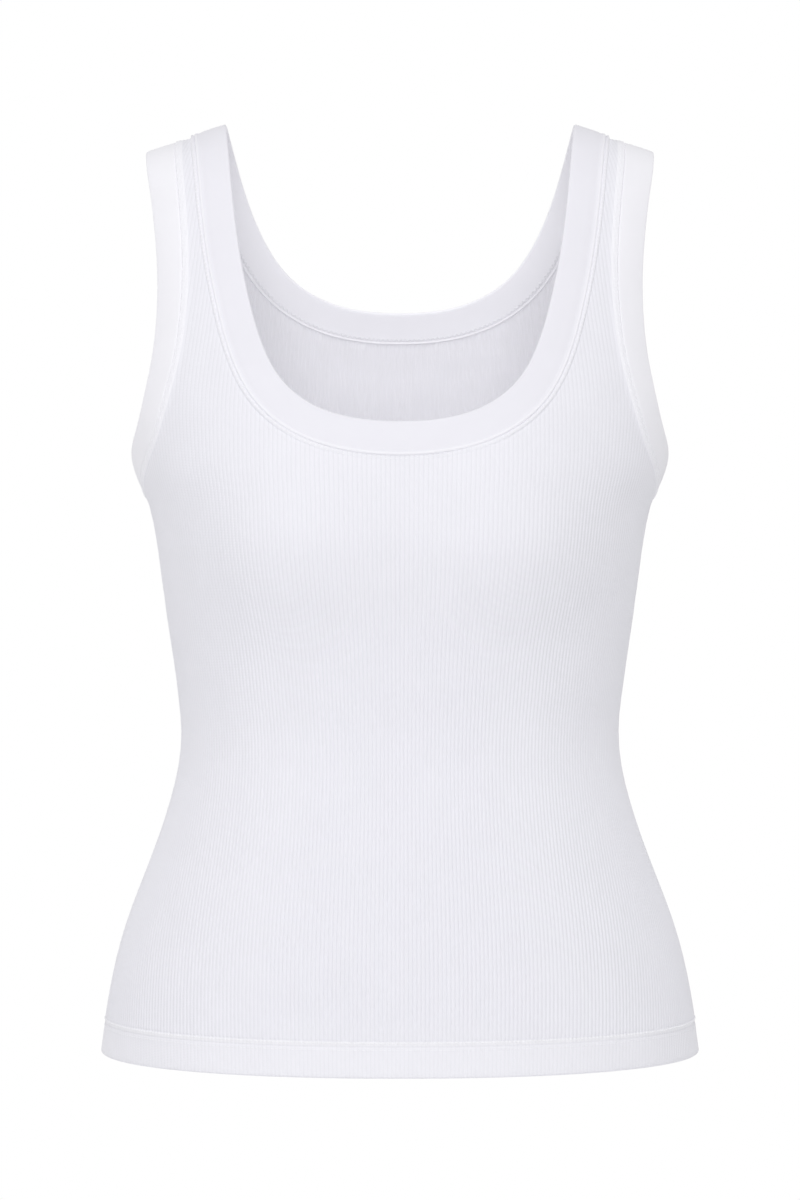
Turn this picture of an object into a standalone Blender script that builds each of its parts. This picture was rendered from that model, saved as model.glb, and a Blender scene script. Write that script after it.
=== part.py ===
"""A women's ribbed tank top, filled out as it is worn, with nobody in it.

Five cut pieces, each one closed wall of cloth: the front, the back, the neck band and the two armhole bands.
The neck, the hem and both armholes are open. X is the wearer's left to right as seen from the front, the
front faces -Y and Z is up. The origin lies between the straps, where they hang on the wearer's shoulders.
"""

import math

import bmesh
import bpy
import numpy as np

MM = 0.001

# The form that the cloth takes, from the shoulders' ridges (first row) to the hem, in mm. half_width is how
# far a section reaches to each side, front and back are how far it reaches from the plane of the ridges,
# and square is its superellipse's exponent.
FORM_COLUMNS = ("height", "half_width", "front", "back", "square")
FORM = (
    (0, 172, 0, 0, 2.3),
    (-4, 171.5, 20, 20, 2.3),
    (-15, 170, 39, 38, 2.3),
    (-34, 167.5, 56, 54, 2.3),
    (-60, 165.3, 71, 68, 2.3),
    (-92, 164, 85, 82, 2.3),
    (-130, 165.6, 99, 93, 2.3),
    (-165, 165.6, 109.5, 97.5, 2.3),
    (-176, 163.6, 112.1, 98, 2.3),
    (-186, 161.4, 114, 98.2, 2.3),
    (-200, 157.6, 116.2, 97.6, 2.3),
    (-216, 151.2, 117.5, 96, 2.3),
    (-240, 146.2, 117.5, 93, 2.3),
    (-276, 141.3, 112, 86, 2.25),
    (-312, 135.8, 106, 79.5, 2.2),
    (-334, 133.2, 104, 77.4, 2.2),
    (-354, 131.2, 102.5, 76, 2.2),
    (-396, 137.7, 105, 82, 2.2),
    (-432, 150, 109, 92, 2.2),
    (-468, 163.6, 113.5, 102, 2.2),
    (-504, 172.9, 117.5, 109, 2.2),
    (-547.5, 179.6, 120, 110.5, 2.2),
)
SHOULDER_SLOPE = 0.33  # how much the ridge falls away from the neck
SHOULDER_X = 132 * MM  # where the ridge is as high as the origin
SHOULDER_FADE = 125 * MM  # the slope has gone this far down the cloth

# The rounded bust that the front is cut for: each side's middle, spread and depth.
BUST_X, BUST_Z = 78 * MM, -246 * MM
BUST_SPREAD_X, BUST_SPREAD_Z = 36 * MM, 40 * MM
BUST_DEPTH = 11 * MM

# The neck's opening from the middle of the front, over the ridge (down 0), to the middle of the back (down
# below 0): mm down the cloth from the ridge, and mm from the middle.
NECK_COLUMNS = ("down", "side")
NECK = (
    (218.5, 0),
    (216, 28),
    (210, 46.5),
    (193.5, 67.4),
    (168.5, 80.2),
    (143, 87.3),
    (92, 96.5),
    (40, 102),
    (0, 104.2),
    (-45, 99.8),
    (-83, 88.7),
    (-114, 68.8),
    (-130.5, 43),
    (-137, 0),
)
# An armhole's opening, from the ridge down the front, under the arm and up the back: mm down the cloth, and
# degrees round the section from the middle of the front.
ARMHOLE_COLUMNS = ("down", "around")
ARMHOLE = (
    (0, 58.7),
    (50, 58.7),
    (100, 57.3),
    (147, 56.7),
    (190, 58.8),
    (214, 64.5),
    (231, 76.9),
    (239, 90),
    (231, 103.1),
    (214, 115.5),
    (190, 121.2),
    (147, 123.3),
    (100, 122.7),
    (50, 121.3),
    (0, 121.3),
)

CLOTH = 1.1 * MM  # the knit, to the bottom of its ribs
RIB_HEIGHT = 0.5 * MM
RIB_APART = 2 * MM  # columns this far apart have ribs of full height
RIBS_ACROSS_HALF = 44  # raised ribs from a panel's middle to its side seam
HEM_DEPTH = 21 * MM
HEM_RISE = 2 * MM  # how much higher the hem is at the sides than in the middle
HEM_TURN = 1.0 * MM  # the turned-up layer inside the hem
HEM_STEP = 0.8 * MM  # the height in which that layer ends
NECK_BAND, ARM_BAND = 20 * MM, 18.2 * MM  # the bands' widths
BAND_PROUD = 0.9 * MM  # a band's outer face above the cloth beside it
BAND_THICK = 2.3 * MM
BAND_FOLD = 1.0 * MM  # how far the folded edge rounds off
SEAM_GAP = 0.3 * MM
RIDGE_GAP = 0.25 * MM  # how far each panel ends from the ridge, at the shoulder seam
LINING_INSET = 0.5 * MM  # how far a panel's inner face ends from its seams, further than its outer face

# Mesh density.
COLUMNS_PER_RIB = 2
COLUMNS = RIBS_ACROSS_HALF * COLUMNS_PER_RIB  # from a panel's middle to its side seam
LINING_STEP = 4  # outer columns for each column of the plain inside
UNDERARM_STEP = 2  # outer columns for each point of an armhole band under the arm
BODY_ROWS = 12
STRAP_ROWS = 8
STRAP_CROWDING = 1.35  # more than 1 crowds a strap's rows towards the ridge
BAND_ROWS = 3
EDGE_SAMPLES = 512  # along an opening's edge
ARC_SAMPLES = 61
STEPS_ACROSS = 8  # steps that carry an edge across the cloth
NUDGE = 1e-5
ARMHOLE_WIDE = 2.0  # mm of cloth for each degree at an armhole, about

# The parts of a seam's points.
AROUND, DOWN, MARK, SHARE = range(4)
# The shares of the way to the side seam between which each panel's strap begins.
STRAP_SHARES = {"front": (0.45, 0.73), "back": (0.32, 0.73)}

# Principled values: the ribbed body, and the smooth bands.
RIB_KNIT = {"Base Color": (0.80, 0.80, 0.84, 1.0), "Roughness": 0.85, "Metallic": 0.0}
BAND_KNIT = {"Base Color": (0.84, 0.84, 0.88, 1.0), "Roughness": 0.8, "Metallic": 0.0}


def cubic(xs, ys, start=None, end=None):
    """A cubic spline through the points, with a set slope or a free one at each end."""
    xs, ys = np.asarray(xs, float), np.asarray(ys, float)
    count, step = len(xs), np.diff(xs)
    rise = np.diff(ys) / step
    matrix, right = np.zeros((count, count)), np.zeros(count)
    for i in range(1, count - 1):
        matrix[i, i - 1 : i + 2] = step[i - 1], 2 * (step[i - 1] + step[i]), step[i]
        right[i] = 6 * (rise[i] - rise[i - 1])
    matrix[0, 0] = matrix[-1, -1] = 1
    if start is not None:
        matrix[0, :2] = 2 * step[0], step[0]
        right[0] = 6 * (rise[0] - start)
    if end is not None:
        matrix[-1, -2:] = step[-1], 2 * step[-1]
        right[-1] = 6 * (end - rise[-1])
    return xs, ys, np.linalg.solve(matrix, right)


def value(curve, x):
    """A cubic spline's value at x, an array."""
    xs, ys, bend = curve
    i = np.clip(np.searchsorted(xs, x) - 1, 0, len(xs) - 2)
    step = xs[i + 1] - xs[i]
    a, b = (xs[i + 1] - x) / step, (x - xs[i]) / step
    bent = (a**3 - a) * bend[i] + (b**3 - b) * bend[i + 1]
    return a * ys[i] + b * ys[i + 1] + bent * step * step / 6


def column(table, columns, name):
    return np.array([row[columns.index(name)] for row in table], float)


def travelled(*values):
    """The distance along a line of points, from 0 at its first."""
    return np.concatenate([[0], np.cumsum(np.sqrt(sum(np.diff(v) ** 2 for v in values)))])


def form_curves():
    """The form's sizes as splines over the distance down the cloth from the ridge."""
    height, width, front, back, square = (column(FORM, FORM_COLUMNS, c) for c in FORM_COLUMNS)
    down = travelled(front, height) * MM
    return {
        "hem": down[-1],
        "height": cubic(down, height * MM, start=0),
        "half_width": cubic(down, width * MM, start=0),
        "front": cubic(down, front * MM, start=1),
        "back": cubic(down, back * MM, start=1),
        "square": cubic(down, square, start=0),
    }


CURVES = form_curves()


def superellipse(around, down):
    """Where an angle round the section falls on a unit superellipse: sideways, and forwards or back."""
    turn = np.radians(around)
    side, ahead = np.sin(turn), np.cos(turn)
    square = value(CURVES["square"], down)
    reach = (np.abs(side) ** square + np.abs(ahead) ** square) ** (1 / square)
    return side / reach, ahead / reach


def point(around, down):
    """A point of the cloth's outer face: degrees round from the middle of the front, to the right, and the
    distance down the cloth from the ridge. A distance below 0 lies over the ridge, on the other face."""
    around, down = np.broadcast_arrays(np.asarray(around, float), np.asarray(down, float))
    over = down < 0
    around = np.where(over, np.where(around < 0, -180, 180) - around, around)
    down = np.abs(down)
    side, ahead = superellipse(around, down)
    x = value(CURVES["half_width"], down) * side
    reach = np.where(ahead >= 0, value(CURVES["front"], down), value(CURVES["back"], down))
    share = np.clip(down / SHOULDER_FADE, 0, 1)
    slope = SHOULDER_SLOPE * (1 - share * share * (3 - 2 * share))
    z = value(CURVES["height"], down) - slope * (np.abs(x) - SHOULDER_X)
    off_x, off_z = (np.abs(x) - BUST_X) / BUST_SPREAD_X, (z - BUST_Z) / BUST_SPREAD_Z
    bust = BUST_DEPTH * np.exp(-(off_x**2 + off_z**2) / 2) * np.clip(ahead, 0, 1)
    return np.stack([x, -reach * ahead - bust, z], axis=-1)


def slopes(around, down):
    """How the point moves with each of its two coordinates."""
    turn = math.degrees(NUDGE / (100 * MM))
    across = (point(around + turn, down) - point(around - turn, down)) / (2 * turn)
    along = (point(around, down + NUDGE) - point(around, down - NUDGE)) / (2 * NUDGE)
    return across, along


def unit(vectors):
    return vectors / np.linalg.norm(vectors, axis=-1, keepdims=True)


def outward(around, down):
    """The outward normal of the cloth."""
    across, along = slopes(around, down)
    normal = unit(np.cross(across, along))
    return -normal


def stepped(around, down, heading, distance):
    """The coordinates of the points that lie this far away on the cloth, each in its own heading."""
    for _ in range(STEPS_ACROSS):
        across, along = slopes(around, down)
        move = heading * distance / STEPS_ACROSS
        aa, bb, ab = (across * across).sum(-1), (along * along).sum(-1), (across * along).sum(-1)
        am, bm = (across * move).sum(-1), (along * move).sum(-1)
        scale = aa * bb - ab * ab
        around = around + (am * bb - bm * ab) / scale
        down = down + (bm * aa - am * ab) / scale
    return around, down


def side_angle(side, down):
    """The angle round the front at which the cloth is this far from the middle."""
    square = value(CURVES["square"], np.abs(down))
    share = side / value(CURVES["half_width"], np.abs(down))
    ahead = (1 - np.abs(share) ** square) ** (1 / square)
    return np.degrees(np.arctan2(share, ahead))


def neck_opening():
    """The neck's edge all round, from the middle of the front to the right and back again."""
    down, side = (column(NECK, NECK_COLUMNS, c) * MM for c in NECK_COLUMNS)
    way = travelled(down, side)
    at = np.linspace(0, way[-1], EDGE_SAMPLES // 2 + 1)
    down = value(cubic(way, down, start=0, end=0), at)
    around = side_angle(value(cubic(way, side, start=1, end=-1), at), down)
    return np.concatenate([around, -around[-2::-1]]), np.concatenate([down, down[-2::-1]])


def armhole_opening(mirror):
    """An armhole's edge all round, from the ridge down the front and up the back."""
    down, around = (column(ARMHOLE, ARMHOLE_COLUMNS, c) for c in ARMHOLE_COLUMNS)
    way = travelled(down, around * ARMHOLE_WIDE)
    at = np.linspace(0, way[-1], EDGE_SAMPLES + 1)
    around = value(cubic(way, around, start=0, end=0), at)
    down = value(cubic(way, down * MM, start=MM, end=-MM), at)
    return mirror * around, np.maximum(down, 0)


def beside(line, distance, towards):
    """A closed line moved over the cloth to its left (1) or right (-1), as seen from outside."""
    points = point(*line)
    ahead = np.gradient(points, axis=0)
    ahead[0] = ahead[-1] = points[1] - points[-2]
    heading = unit(np.cross(outward(*line), ahead)) * towards
    return stepped(*line, heading, distance)


def picked(line, marks):
    """The points of a line at these marks, which count its samples."""
    samples = np.arange(len(line[0]))
    return tuple(np.interp(marks, samples, part) for part in line)


def cloth_material(name, knit):
    material = bpy.data.materials.new(name)
    material.use_nodes = True
    shader = material.node_tree.nodes["Principled BSDF"]
    for socket, value_set in knit.items():
        shader.inputs[socket].default_value = value_set
    return material


def add_object(name, points, faces, knit):
    """One piece of cloth, with its own material."""
    mesh = bpy.data.meshes.new(name)
    mesh.from_pydata([tuple(p) for p in points], [], faces)
    mesh.validate()
    mesh.materials.append(cloth_material(name, knit))
    obj = bpy.data.objects.new(name, mesh)
    COLLECTION.objects.link(obj)
    face_outward(mesh)
    mesh.shade_smooth()
    mesh.set_sharp_from_angle(angle=math.radians(40))
    return obj


def face_outward(mesh):
    """Turns every face the same way, out of the wall."""
    work = bmesh.new()
    work.from_mesh(mesh)
    bmesh.ops.recalc_face_normals(work, faces=work.faces)
    if work.calc_volume(signed=True) < 0:
        bmesh.ops.reverse_faces(work, faces=work.faces)
    work.to_mesh(mesh)
    work.free()


def band(name, opening, band_width, towards, marks):
    """A folded strip of cloth round an opening: its folded edge on the opening, the other on the seam."""
    outer, inner = BAND_PROUD, BAND_PROUD - BAND_THICK
    across = np.linspace(BAND_FOLD, band_width, BAND_ROWS)
    rows = [(0.0, (outer + inner) / 2)]
    rows += [(width, outer) for width in across]
    rows += [(width, inner) for width in across[::-1]]
    rings = []
    for width, rise in rows:
        line = picked(beside(opening, width, towards), marks)
        rings.append(point(*line) + outward(*line) * rise)
    size = len(marks)
    faces = []
    for ring in range(len(rings)):
        following = (ring + 1) % len(rings)
        for i in range(size):
            j = (i + 1) % size
            faces.append((ring * size + i, ring * size + j, following * size + j, following * size + i))
    return add_object(name, np.concatenate(rings), faces, BAND_KNIT)


def face_angle(around, face):
    """An angle from a panel's own middle as an angle from the middle of the front."""
    return around if face == "front" else np.where(around < 0, -180, 180) - around


def face_point(around, down, face):
    return point(face_angle(around, face), down)


def half_girth(down, face):
    """How far it is round half a section, from a panel's middle to its side."""
    turn = np.linspace(0, 90, ARC_SAMPLES)
    return travel(face_point(turn, down[:, None], face))[:, -1]


def travel(points):
    """The distance passed along each row of points."""
    steps = np.linalg.norm(np.diff(points, axis=1), axis=2)
    return np.pad(np.cumsum(steps, axis=1), ((0, 0), (1, 0)))


def share_round(line, face):
    """How far round the half section each point of a line lies, from 0 at its middle to 1 at the side."""
    around, down = line[:2]
    turn = np.linspace(0, 1, ARC_SAMPLES)
    upto = travel(face_point(around[:, None] * turn, down[:, None], face))[:, -1]
    return upto / half_girth(down, face)


def angle_round(share, down, face):
    """The angle from a panel's middle at which that share of the half section has been passed."""
    turn = np.linspace(0, 90, ARC_SAMPLES)
    passed = travel(face_point(turn, down.reshape(-1, 1), face))
    found = [np.interp(s * way[-1], way, turn) for s, way in zip(share.ravel(), passed)]
    return np.array(found).reshape(share.shape)


def cut_at(line, part, limit):
    """A line up to the point where one of its parts first passes a limit."""
    past = (line[part] - limit) * (line[part, 0] - limit) <= 0
    end = np.argmax(past)
    mix = (limit - line[part, end - 1]) / (line[part, end] - line[part, end - 1])
    return np.column_stack([line[:, :end], line[:, end - 1] + (line[:, end] - line[:, end - 1]) * mix])


def half_seams(face):
    """A panel's right half: its neck seam from the middle to the ridge, and its armhole seam from the side
    to the ridge. The parts are named in SEAM_PARTS."""
    marks = np.arange(EDGE_SAMPLES + 1.0)
    neck = np.array([*beside(neck_opening(), NECK_BAND + SEAM_GAP, -1), marks])[:, : EDGE_SAMPLES // 2 + 1]
    arm = np.array([*beside(armhole_opening(1), ARM_BAND + SEAM_GAP, -1), marks])
    if face == "back":
        neck = neck[:, ::-1] * [[1], [-1], [1]]
        arm = arm[:, ::-1]
        arm[AROUND] = 180 - arm[AROUND]
    seams = cut_at(neck, DOWN, RIDGE_GAP), cut_at(cut_at(arm, AROUND, 90)[:, ::-1], DOWN, RIDGE_GAP)
    return [np.vstack([seam, share_round(seam, face)]) for seam in seams]


def split_at(seam, share):
    """The two parts of a seam, before and after it passes this share round the section."""
    low = cut_at(seam, SHARE, share)
    return low, np.column_stack([low[:, -1], seam[:, low.shape[1] - 1 :]])


def at_length(seam, shares):
    """Points at these shares of a seam's length."""
    way = travel(point(seam[AROUND], seam[DOWN])[None])[0]
    return np.array([np.interp(shares * way[-1], way, part) for part in seam])


def at_share(seam, shares, part):
    """One part of a seam where it passes these shares round the section."""
    order = np.argsort(seam[SHARE])
    return np.interp(shares, seam[SHARE, order], seam[part, order])


def panel_plan(face):
    """A panel's right half: the seams below and beside its strap, and the columns where the strap begins
    and ends."""
    corners = [round(share * COLUMNS / LINING_STEP) * LINING_STEP for share in STRAP_SHARES[face]]
    parts = [split_at(seam, c / COLUMNS) for seam, c in zip(half_seams(face), corners)]
    rows = 1 - np.linspace(1, 0, STRAP_ROWS + 1) ** STRAP_CROWDING
    return {
        "face": face,
        "corners": corners,
        "neck": parts[0][0],
        "arm": parts[1][0],
        "strap_neck": at_length(parts[0][1], rows),
        "strap_arm": at_length(parts[1][1], rows),
    }


def body_grid(plan):
    """The body of a panel's right half, from the hem to its seams and its straps, as angles and distances."""
    first, last = plan["corners"]
    share = np.arange(COLUMNS + 1) / COLUMNS
    mix = (np.arange(COLUMNS + 1) - first) / (last - first)
    start, end = plan["neck"][DOWN, -1], plan["arm"][DOWN, -1]
    top = start + (end - start) * mix
    top[:first] = at_share(plan["neck"], share[:first], DOWN)
    top[last + 1 :] = at_share(plan["arm"], share[last + 1 :], DOWN)
    hem = CURVES["hem"] - HEM_RISE * share**2
    rise = np.linspace(0, 1, BODY_ROWS + 1)[:, None]
    down = np.vstack([hem, hem - HEM_DEPTH + (top - hem + HEM_DEPTH) * rise])
    share = np.repeat(share[None], len(down), axis=0)
    share[:, -1] -= SEAM_GAP / 2 / half_girth(down[:, -1], plan["face"])
    return np.array([angle_round(share, down, plan["face"]), down])


def strap_grid(plan, body):
    """A strap of a panel's right half, from the body's top row to the ridge."""
    first, last = plan["corners"]
    mix = np.linspace(0, 1, last - first + 1)
    ends = zip(plan["strap_neck"][:SHARE], plan["strap_arm"][:SHARE])
    around, down, _ = (a[:, None] + (b - a)[:, None] * mix for a, b in ends)
    around[0], down[0] = body[:, -1, first : last + 1]
    return np.array([around, down])


def whole_width(grid):
    """A right half's grid with its mirror image to the left."""
    return np.concatenate([grid[:, :, :0:-1] * [[[-1]], [[1]]], grid], axis=2)


def seam_marks(plans):
    """Where the bands' seams have a point for each of the panels' own, along the neck and an armhole."""
    neck, arm = [], []
    for plan in plans:
        first, last = plan["corners"]
        neck += list(at_share(plan["neck"], np.arange(0, first, LINING_STEP) / COLUMNS, MARK))
        arm += list(at_share(plan["arm"], np.arange(COLUMNS, last, -UNDERARM_STEP) / COLUMNS, MARK))
        neck += list(plan["strap_neck"][MARK, :-1])
        arm += list(plan["strap_arm"][MARK, :-1])
    neck.append(np.mean([plan["strap_neck"][MARK, -1] for plan in plans]))
    neck += [EDGE_SAMPLES - mark for mark in neck]
    arm.append(0)
    return [np.unique(np.round(marks, 2) % EDGE_SAMPLES) for marks in (neck, arm)]


def raised(grid, face, rise):
    """The cloth's points over a grid, moved out by a rise."""
    around = face_angle(grid[0], face)
    return point(around, grid[1]) + outward(around, grid[1]) * np.asarray(rise)[..., None]


def ribbed(grid, face):
    """The outer face of the knit: every second column is a rib's crest, lower where the ribs run closer."""
    apart = np.diff(travel(raised(grid, face, 0)), axis=1)
    sides = [np.pad(apart, ((0, 0), side), mode="edge") for side in ((1, 0), (0, 1))]
    crest = np.arange(grid.shape[2]) % COLUMNS_PER_RIB == 1
    return raised(grid, face, crest * RIB_HEIGHT * np.clip((sides[0] + sides[1]) / 2 / RIB_APART, 0, 1))


class Wall:
    """Collects the points and faces of one closed wall."""

    def __init__(self):
        self.points, self.faces = [], []

    def add(self, grid):
        """Adds a grid of points and gives their numbers."""
        start = len(self.points)
        rows, columns = grid.shape[:2]
        self.points.extend(grid.reshape(-1, 3))
        return start + np.arange(rows * columns).reshape(rows, columns)

    def skin(self, numbers):
        for low, high in zip(numbers[:-1], numbers[1:]):
            for i in range(len(low) - 1):
                self.faces.append((low[i], low[i + 1], high[i + 1], high[i]))

    def rim(self, outer, inner):
        """Closes the wall's edge between a line of outer points and a line of fewer or as many inner ones."""
        step = (len(outer) - 1) // (len(inner) - 1)
        for k in range(len(inner) - 1):
            some, a, b = outer[k * step : (k + 1) * step + 1], inner[k], inner[k + 1]
            if step == 1:
                self.faces.append((some[0], some[1], b, a))
                continue
            half = step // 2
            self.faces += [(some[i], some[i + 1], a) for i in range(half)]
            self.faces.append((some[half], b, a))
            self.faces += [(some[i], some[i + 1], b) for i in range(half, step)]


def panel(plan):
    """The front or the back: ribs in the outer points over a plain inside, and a double layer at the hem."""
    face, step = plan["face"], LINING_STEP
    first, last = plan["corners"]
    half = body_grid(plan)
    body = whole_width(half)
    wall = Wall()
    outer = wall.add(ribbed(body, face))
    above_hem = body[:, 1] - [[0], [HEM_STEP]]
    inside = np.insert(body, 2, above_hem, axis=1)[:, :, ::step]
    inside[1, -1] += LINING_INSET
    depth = np.full(inside.shape[1:], -CLOTH)
    depth[:2] -= HEM_TURN
    inner = wall.add(raised(inside, face, depth))
    wall.skin(outer)
    wall.skin(inner)
    wall.rim(outer[0], inner[0])
    for edge in (0, -1):
        wall.rim(outer[:2, edge], inner[:2, edge])
        wall.faces.append((outer[1, edge], inner[1, edge], inner[2, edge]))
        wall.rim(outer[1:, edge], inner[2:, edge])
    ends = (0, COLUMNS - last), (COLUMNS - first, COLUMNS + first), (COLUMNS + last, 2 * COLUMNS)
    for start, end in ends:
        wall.rim(outer[-1, start : end + 1], inner[-1, start // step : end // step + 1])
    for mirror in (-1, 1):
        strap = strap_grid(plan, half)[:, :, ::mirror]
        strap[0] *= mirror
        start = COLUMNS + (first if mirror > 0 else -last)
        end = start + last - first
        upper = wall.add(ribbed(strap, face)[1:])
        upper = np.vstack([outer[-1, start : end + 1], upper])
        lining = wall.add(raised(strap, face, np.full(strap.shape[1:], -CLOTH))[1:, ::step])
        lining = np.vstack([inner[-1, start // step : end // step + 1], lining])
        wall.skin(upper)
        wall.skin(lining)
        wall.rim(upper[:, 0], lining[:, 0])
        wall.rim(upper[:, -1], lining[:, -1])
        wall.rim(upper[-1], lining[-1])
    faces = [tuple(int(i) for i in corners) for corners in wall.faces]
    return add_object(face, wall.points, faces, RIB_KNIT)


def new_collection(name):
    for obj in list(bpy.data.objects):
        bpy.data.objects.remove(obj)
    collection = bpy.data.collections.new(name)
    bpy.context.scene.collection.children.link(collection)
    return collection


COLLECTION = new_collection("tank_top")


def main():
    plans = [panel_plan(face) for face in ("front", "back")]
    for plan in plans:
        panel(plan)
    neck, arm = seam_marks(plans)
    band("neck_band", neck_opening(), NECK_BAND, -1, neck)
    band("armhole_band_right", armhole_opening(1), ARM_BAND, -1, arm)
    band("armhole_band_left", armhole_opening(-1), ARM_BAND, 1, arm)


main()
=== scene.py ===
import math

import bpy
import numpy as np
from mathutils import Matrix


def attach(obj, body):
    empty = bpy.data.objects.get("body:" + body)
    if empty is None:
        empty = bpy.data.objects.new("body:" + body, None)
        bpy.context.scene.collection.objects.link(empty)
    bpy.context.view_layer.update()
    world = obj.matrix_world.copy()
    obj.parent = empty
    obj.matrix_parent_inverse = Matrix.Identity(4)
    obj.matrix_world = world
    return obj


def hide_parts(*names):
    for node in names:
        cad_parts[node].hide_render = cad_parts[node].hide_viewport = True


# The ribbed tank top as it looks: two ribbed panels, three folded bands, and the sewing that joins them.
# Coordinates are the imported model's: X across, the front faces -Y, Z up, the origin between the straps.

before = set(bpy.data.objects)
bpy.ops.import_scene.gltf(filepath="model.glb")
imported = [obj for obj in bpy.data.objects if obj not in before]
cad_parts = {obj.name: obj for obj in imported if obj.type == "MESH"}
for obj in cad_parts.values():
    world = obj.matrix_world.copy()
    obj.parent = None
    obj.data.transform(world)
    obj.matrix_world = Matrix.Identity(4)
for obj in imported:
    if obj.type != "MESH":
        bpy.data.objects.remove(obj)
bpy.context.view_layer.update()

MM = 0.001

# ---- the form, as the solids have it
# Its height, half width, and depths in front and behind, in mm, and the superellipse's exponent.
FORM = (
    (0, 172, 0, 0, 2.3),
    (-4, 171.5, 20, 20, 2.3),
    (-15, 170, 39, 38, 2.3),
    (-34, 167.5, 56, 54, 2.3),
    (-60, 165.3, 71, 68, 2.3),
    (-92, 164, 85, 82, 2.3),
    (-130, 165.6, 99, 93, 2.3),
    (-165, 165.6, 109.5, 97.5, 2.3),
    (-176, 163.6, 112.1, 98, 2.3),
    (-186, 161.4, 114, 98.2, 2.3),
    (-200, 157.6, 116.2, 97.6, 2.3),
    (-216, 151.2, 117.5, 96, 2.3),
    (-240, 146.2, 117.5, 93, 2.3),
    (-276, 141.3, 112, 86, 2.25),
    (-312, 135.8, 106, 79.5, 2.2),
    (-334, 133.2, 104, 77.4, 2.2),
    (-354, 131.2, 102.5, 76, 2.2),
    (-396, 137.7, 105, 82, 2.2),
    (-432, 150, 109, 92, 2.2),
    (-468, 163.6, 113.5, 102, 2.2),
    (-504, 172.9, 117.5, 109, 2.2),
    (-547.5, 179.6, 120, 110.5, 2.2),
)
SHOULDER_SLOPE = 0.33  # how steeply the shoulders fall outwards
SHOULDER_X = 132 * MM  # from the middle, where the slope crosses the form's own height
SHOULDER_FADE = 125 * MM  # the slope has gone this far down the cloth
BUST_X, BUST_Z = 78 * MM, -246 * MM
BUST_SPREAD_X, BUST_SPREAD_Z = 36 * MM, 40 * MM
BUST_DEPTH = 11 * MM
# The neck's edge: mm down the cloth from the shoulders' ridge, and mm from the middle.
NECK = (
    (218.5, 0),
    (216, 28),
    (210, 46.5),
    (193.5, 67.4),
    (168.5, 80.2),
    (143, 87.3),
    (92, 96.5),
    (40, 102),
    (0, 104.2),
    (-45, 99.8),
    (-83, 88.7),
    (-114, 68.8),
    (-130.5, 43),
    (-137, 0),
)
# An armhole's front edge, which the back's mirrors: mm down the cloth, and degrees round from the front.
ARMHOLE = (
    (0, 58.7),
    (50, 58.7),
    (100, 57.3),
    (147, 56.7),
    (190, 58.8),
    (214, 64.5),
    (231, 76.9),
    (239, 90),
)
CLOTH = 1.1 * MM  # the panels' thickness in the furrows
HEM_DEPTH = 21 * MM
HEM_RISE = 2 * MM  # the hem's edge is this much higher at the sides
HEM_TURN = 1.0 * MM  # what the turned-up cloth adds to the thickness
HEM_TURN_FROM, HEM_TURN_SOFT = 0.4 * MM, 0.8 * MM  # its end: how far above the hem's depth, and how long
HEM_FOLD = 0.995  # at 1 the two faces would meet in a line at the hem's edge
NECK_BAND, ARM_BAND = 20 * MM, 18.2 * MM  # the bands' widths

EDGE_SAMPLES = 512  # points round an opening
STEPS_ACROSS = 8  # steps of a walk over the cloth
NUDGE = 1e-5  # the step by which slopes are measured, in m
NUDGE_TURN = math.degrees(NUDGE / (100 * MM))  # the same step in degrees, at a radius of 100 mm
ARMHOLE_WIDE = 2.0  # mm that a degree counts for along an armhole's edge
TABLE_DOWNS, TABLE_TURNS = 400, 241  # how finely the way round each panel is tabled

# ---- the knit and the sewing
# Ribs from a panel's middle to its side seam: at the waist and above, and at the hem.
RIBS_WAIST, RIBS_HEM = 83, 101
RIBS_TAPER = 195 * MM  # the side seams cut off ribs from this far above the hem
RIBS_TAPER_BEND = 1.15  # above 1 they begin to do so gently at the waist
RIB_PITCH = 2.3 * MM
COLUMNS_PER_RIB = 4  # of the mesh
RIB_HEIGHT = 0.52 * MM
RIB_ROUND = 0.6  # below 1 the crests are broad and the furrows narrow
LINING_RIB = 0.36 * MM  # the ribs' height inside
# The ribs' height as a share of the full one: mm above the hem's edge, then at a panel's middle, beside
# that, and towards its side. They are flatter where the wearer's form has stretched the cloth.
RIB_STAND_AT = (0.2, 0.45, 0.6)  # the shares of the way to the side seam that the last three stand for
RIB_STAND = (
    (24, 1.0, 1.0, 1.0),
    (40, 1.25, 0.9, 0.95),
    (90, 1.2, 0.85, 0.9),
    (150, 1.1, 0.75, 0.9),
    (205, 1.1, 0.6, 0.45),
    (250, 1.05, 0.85, 0.7),
    (300, 1.0, 0.5, 0.6),
    (350, 0.72, 0.43, 0.27),
    (400, 0.62, 0.37, 0.22),
    (480, 0.7, 0.62, 0.55),
    (560, 0.7, 0.7, 0.7),
)
HEM_RIBS = 0.35  # what is left of the ribs' height below the hem's stitches
HEM_RIBS_END = 0.4  # mm above the upper stitches; the ribs are full from here
# The hem's rows of stitches, in mm: how far above its edge, how far the threads arch, and their radius.
UPPER_ROW = 20
HEM_STITCHES = (("upper", UPPER_ROW, 0.62, 0.32), ("lower", 15.9, 0.22, 0.16))
HEM_STITCH_REACH = 0.42  # from a rib's crest to a stitch's end, in ribs
HEM_STITCH_RISE = 0.02 * MM  # their ends stand off the form
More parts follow.
